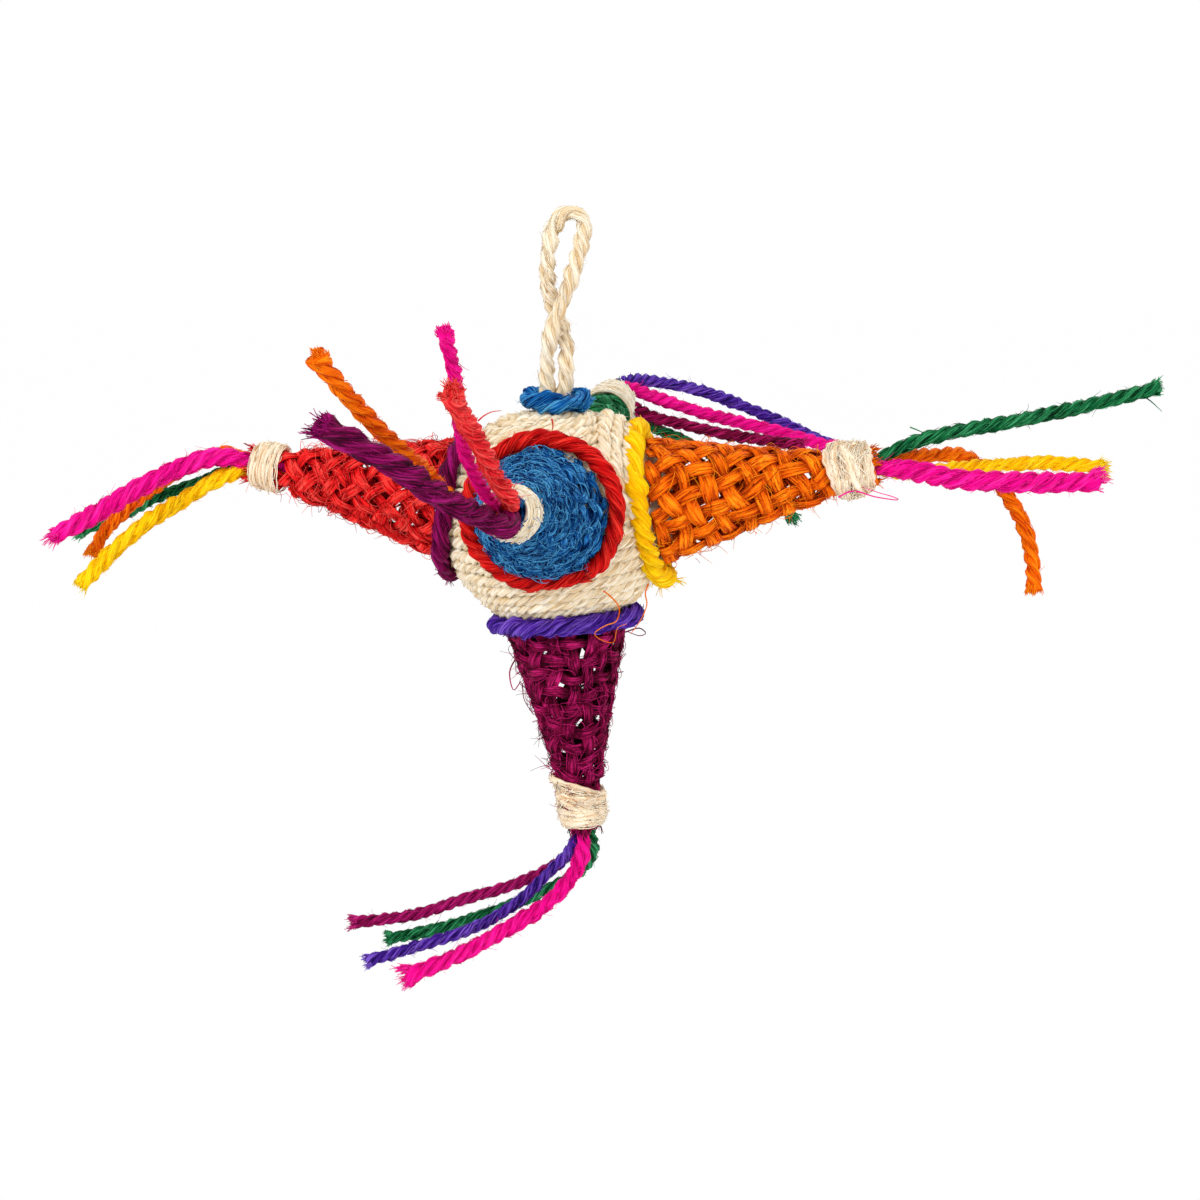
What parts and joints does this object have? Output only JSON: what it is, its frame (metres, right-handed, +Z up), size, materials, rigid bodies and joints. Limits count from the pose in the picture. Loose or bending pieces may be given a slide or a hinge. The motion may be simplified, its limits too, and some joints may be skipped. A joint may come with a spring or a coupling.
{
  "type": "pinata ornament",
  "caption": "Hanging folk star: a twine-wound ball with woven cones pointing out all round, each tip bound round a tassel of dyed cords, hung by a twine loop.",
  "frame": {"origin": "where a hook bears under the crown of the hanging loop", "axes": "+Z up along the hanging direction, the front cone towards -Y, the right cone towards +X"},
  "size_m": [0.175, 0.1583, 0.122],
  "materials": {
    "natural_twine": "undyed three-ply sisal twine, fibrous and matt",
    "raw_fibre": "untwisted raw sisal fibre with a slight sheen",
    "ball_core": "packed waste fibre, hidden",
    "sisal_red": "red dyed sisal, fibrous and matt",
    "sisal_blue": "blue dyed sisal, fibrous and matt",
    "sisal_orange": "orange dyed sisal, fibrous and matt",
    "sisal_yellow": "yellow dyed sisal, fibrous and matt",
    "sisal_magenta": "magenta dyed sisal, fibrous and matt",
    "sisal_pink": "pink dyed sisal, fibrous and matt",
    "sisal_plum": "plum dyed sisal, fibrous and matt",
    "sisal_violet": "violet dyed sisal, fibrous and matt",
    "sisal_green": "green dyed sisal, fibrous and matt",
    "sisal_coral": "coral dyed sisal, fibrous and matt"
  },
  "bodies": {
    "hanger": {"hanging_loop": "natural_twine"},
    "star": {"core_ball": "ball_core", "ball_winding": "natural_twine", "loop_collar": "sisal_blue", "cone_front": "sisal_blue", "base_ring_front": "sisal_red", "tip_whipping_front": "raw_fibre", "cone_right": "sisal_orange", "base_ring_right": "sisal_yellow", "tip_whipping_right": "raw_fibre", "cone_back": "sisal_green", "base_ring_back": "sisal_green", "tip_whipping_back": "raw_fibre", "cone_left": "sisal_red", "base_ring_left": "sisal_plum", "tip_whipping_left": "raw_fibre", "cone_bottom": "sisal_plum", "base_ring_bottom": "sisal_violet", "tip_whipping_bottom": "raw_fibre"},
    "tassel_front": {"cord_front_coral": "sisal_coral", "cord_front_plum": "sisal_plum", "cord_front_orange": "sisal_orange", "cord_front_pink": "sisal_pink"},
    "tassel_right": {"cord_right_green": "sisal_green", "cord_right_orange": "sisal_orange", "cord_right_yellow": "sisal_yellow", "cord_right_magenta": "sisal_magenta"},
    "tassel_back": {"cord_back_violet": "sisal_violet", "cord_back_pink": "sisal_pink", "cord_back_plum": "sisal_plum", "cord_back_green": "sisal_green"},
    "tassel_left": {"cord_left_magenta": "sisal_magenta", "cord_left_yellow": "sisal_yellow", "cord_left_green": "sisal_green", "cord_left_orange": "sisal_orange"},
    "tassel_bottom": {"cord_bottom_plum": "sisal_plum", "cord_bottom_violet": "sisal_violet", "cord_bottom_pink": "sisal_pink", "cord_bottom_green": "sisal_green"}
  },
  "joints": [
    {"name": "swing", "type": "hinge", "parent": "hanger", "child": "star", "pos_m": [-0.0023, 0, -0.0242], "axis": [1, 0, 0], "range_deg": [-40, 40], "stiffness_Nm_per_rad": 0.002, "deforming": ["hanging_loop"]},
    {"name": "sway_front", "type": "hinge", "parent": "star", "child": "tassel_front", "pos_m": [-0.00011, -0.0501, -0.03741], "axis": [1, 0, 0], "range_deg": [-20, 20], "stiffness_Nm_per_rad": 0.004, "deforming": ["cord_front_coral", "cord_front_plum", "cord_front_orange", "cord_front_pink"]},
    {"name": "sway_right", "type": "hinge", "parent": "star", "child": "tassel_right", "pos_m": [0.04784, 0.00131, -0.03749], "axis": [0, 1, 0], "range_deg": [-20, 20], "stiffness_Nm_per_rad": 0.004, "deforming": ["cord_right_green", "cord_right_orange", "cord_right_yellow", "cord_right_magenta"]},
    {"name": "sway_back", "type": "hinge", "parent": "star", "child": "tassel_back", "pos_m": [-0.00058, 0.04916, -0.03324], "axis": [1, 0, 0], "range_deg": [-20, 20], "stiffness_Nm_per_rad": 0.004, "deforming": ["cord_back_violet", "cord_back_pink", "cord_back_plum", "cord_back_green"]},
    {"name": "sway_left", "type": "hinge", "parent": "star", "child": "tassel_left", "pos_m": [-0.05279, 0, -0.03951], "axis": [0, 1, 0], "range_deg": [-20, 20], "stiffness_Nm_per_rad": 0.004, "deforming": ["cord_left_magenta", "cord_left_yellow", "cord_left_green", "cord_left_orange"]},
    {"name": "sway_bottom", "type": "hinge", "parent": "star", "child": "tassel_bottom", "pos_m": [0.0026, -0.00383, -0.09732], "axis": [0, 1, 0], "range_deg": [-20, 20], "stiffness_Nm_per_rad": 0.004, "deforming": ["cord_bottom_plum", "cord_bottom_violet", "cord_bottom_pink", "cord_bottom_green"]}
  ]
}
